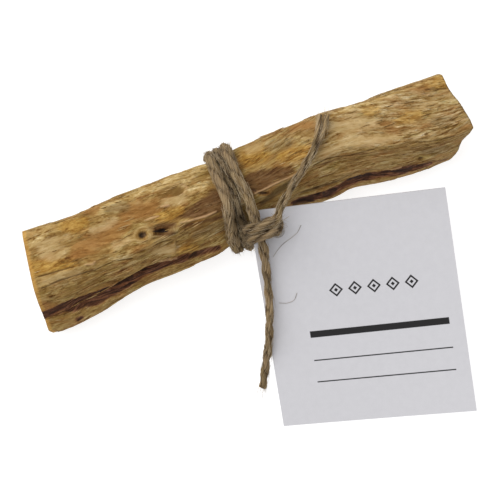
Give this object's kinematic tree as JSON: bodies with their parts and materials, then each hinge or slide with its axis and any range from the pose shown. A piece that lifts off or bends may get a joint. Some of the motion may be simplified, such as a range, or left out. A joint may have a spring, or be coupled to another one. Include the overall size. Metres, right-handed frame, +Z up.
{
  "type": "palo santo stick",
  "caption": "Split stick of fragrant palo santo wood, bound at its middle with knotted jute twine that holds a white card tag.",
  "frame": {"origin": "middle of the box round the stick and the tag, on the surface that they lie on", "axes": "+X along the stick towards its slanting sawn end, +Y from the tag towards the stick's back, +Z up"},
  "size_m": [0.1006, 0.0751, 0.0214],
  "materials": {
    "palo_santo_wood": "raw split wood, oily and matte",
    "jute": "hairy two-ply natural jute",
    "tag_card": "smooth uncoated white card"
  },
  "bodies": {
    "root": {"wood_stick": "palo_santo_wood", "jute_twine": "jute", "paper_tag": "tag_card"}
  },
  "joints": []
}
